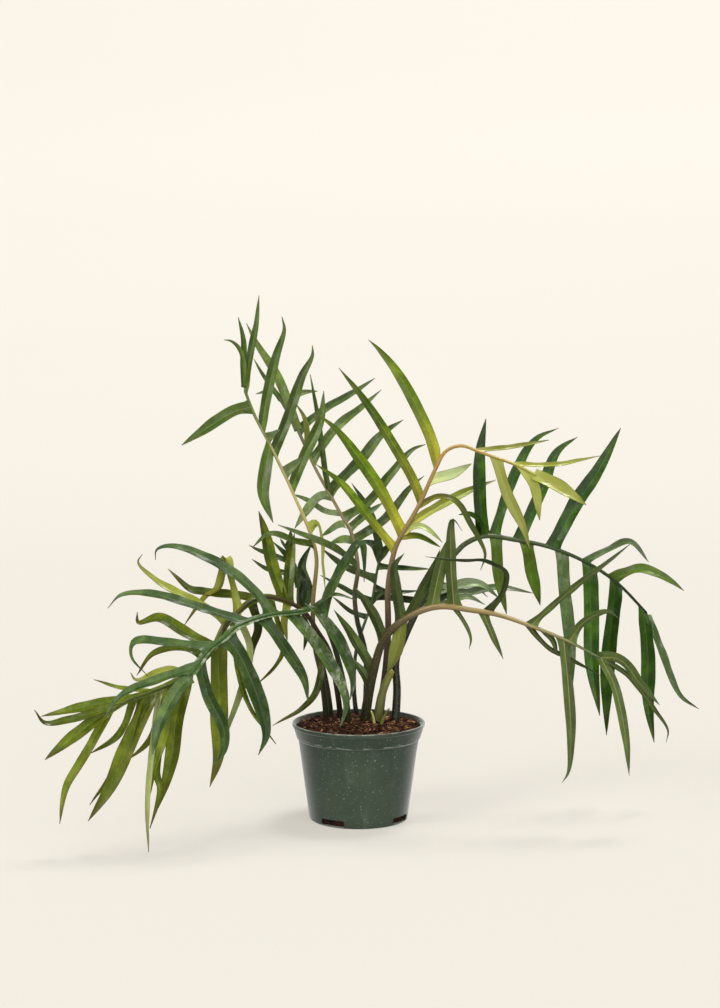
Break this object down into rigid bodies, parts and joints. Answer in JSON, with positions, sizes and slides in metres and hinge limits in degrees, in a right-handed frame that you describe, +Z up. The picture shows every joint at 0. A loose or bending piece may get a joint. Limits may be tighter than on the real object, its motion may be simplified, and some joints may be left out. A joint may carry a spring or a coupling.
{
  "type": "potted fern-leaf philodendron",
  "caption": "House plant with long, deeply cut arching leaves growing from the soil of a round nursery pot.",
  "frame": {"origin": "centre of the pot's underside, on the surface that the pot stands on", "axes": "+Z up through the pot, -Y towards the front of the plant, +X to its right"},
  "size_m": [0.805, 0.3531, 0.6501],
  "materials": {
    "pot_plastic": "satin",
    "potting_mix": "matte",
    "leaf_mid_green": "satin",
    "leaf_grey_green": "satin",
    "leaf_young": "satin",
    "leaf_dark_green": "satin",
    "leaf_underside": "satin",
    "leaf_blue_green": "satin",
    "leaf_olive": "satin",
    "sheath": "satin",
    "shoot": "satin"
  },
  "bodies": {
    "root": {"pot": "pot_plastic", "soil": "potting_mix", "frond_upper_left": "leaf_mid_green", "frond_upper_back": "leaf_grey_green", "frond_young_centre": "leaf_young", "frond_right": "leaf_dark_green", "frond_front_right": "leaf_underside", "frond_front_left": "leaf_blue_green", "frond_low_left": "leaf_olive", "frond_small_left": "leaf_grey_green", "frond_small_back": "leaf_grey_green", "sheath_green": "sheath", "shoot_pale": "shoot", "shoot_green": "sheath"}
  },
  "joints": []
}
